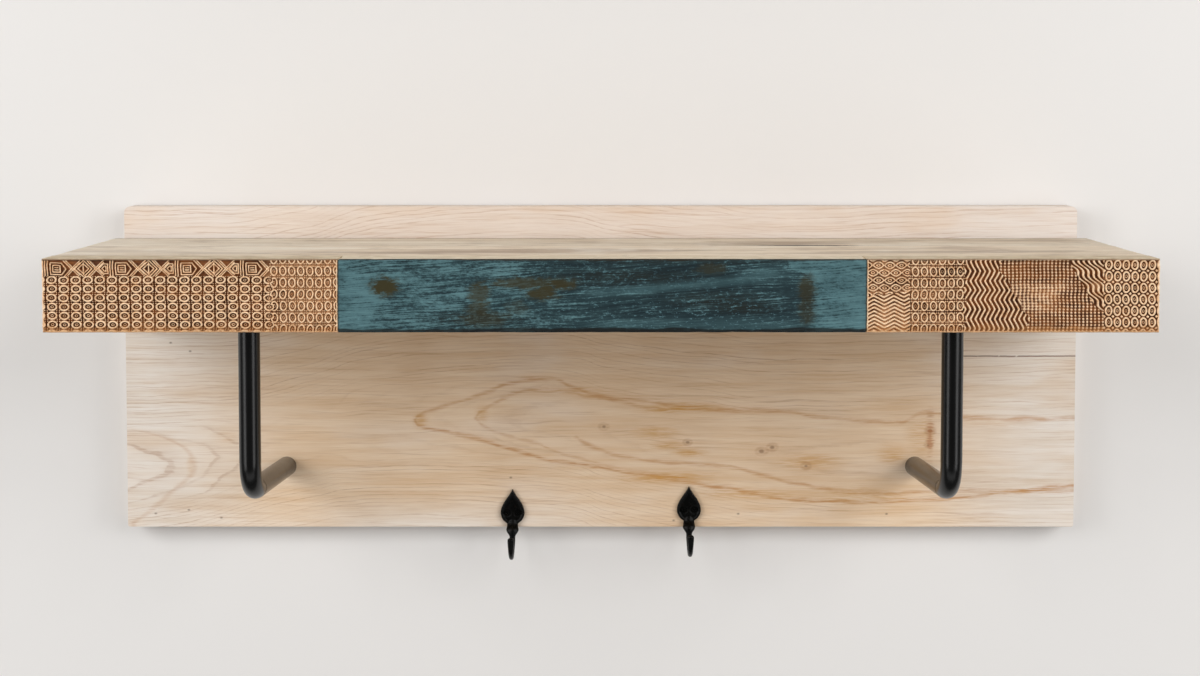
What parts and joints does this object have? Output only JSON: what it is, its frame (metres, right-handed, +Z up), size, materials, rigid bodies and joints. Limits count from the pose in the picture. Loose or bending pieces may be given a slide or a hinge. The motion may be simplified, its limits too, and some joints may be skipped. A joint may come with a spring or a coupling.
{
  "type": "wall shelf with hooks",
  "caption": "Deep wall shelf on a tall back board, with carved and painted front edge, round-bar brackets and small cast hooks below.",
  "frame": {"origin": "on the wall plane, midway between the entry holes of the two keyhole hangers", "axes": "+X to the right along the shelf as seen from the room, +Y into the wall, +Z up; the shelf stands out towards -Y"},
  "size_m": [0.8, 0.22, 0.2885],
  "materials": {
    "pine_board": "whitewashed pine with golden grain, matt",
    "shelf_wood": "pale grey-beige old wood, waxed",
    "carved_wood": "carved hardwood with worn pale ridges and dark brown ground",
    "blue_paint": "worn teal-blue paint on old wood",
    "black_bar": "semi-gloss black paint on steel bar",
    "black_iron": "blackened cast iron, waxed",
    "zinc_steel": "bright zinc plating"
  },
  "bodies": {
    "root": {"back_board": "pine_board", "rear_stave": "shelf_wood", "front_stave": "shelf_wood", "left_carved_block": "carved_wood", "right_carved_block": "carved_wood", "painted_block": "blue_paint", "left_bracket": "black_bar", "right_bracket": "black_bar", "left_hook": "black_iron", "right_hook": "black_iron", "left_hook_screw_a": "black_iron", "left_hook_screw_b": "black_iron", "right_hook_screw_a": "black_iron", "right_hook_screw_b": "black_iron", "left_bracket_stud": "zinc_steel", "right_bracket_stud": "zinc_steel", "left_bracket_bolt": "zinc_steel", "right_bracket_bolt": "zinc_steel", "shelf_screw_1": "zinc_steel", "shelf_screw_2": "zinc_steel", "shelf_screw_3": "zinc_steel", "shelf_screw_4": "zinc_steel", "left_hanger": "zinc_steel", "right_hanger": "zinc_steel", "left_hanger_screw_top": "zinc_steel", "left_hanger_screw_bottom": "zinc_steel", "right_hanger_screw_top": "zinc_steel", "right_hanger_screw_bottom": "zinc_steel"}
  },
  "joints": []
}
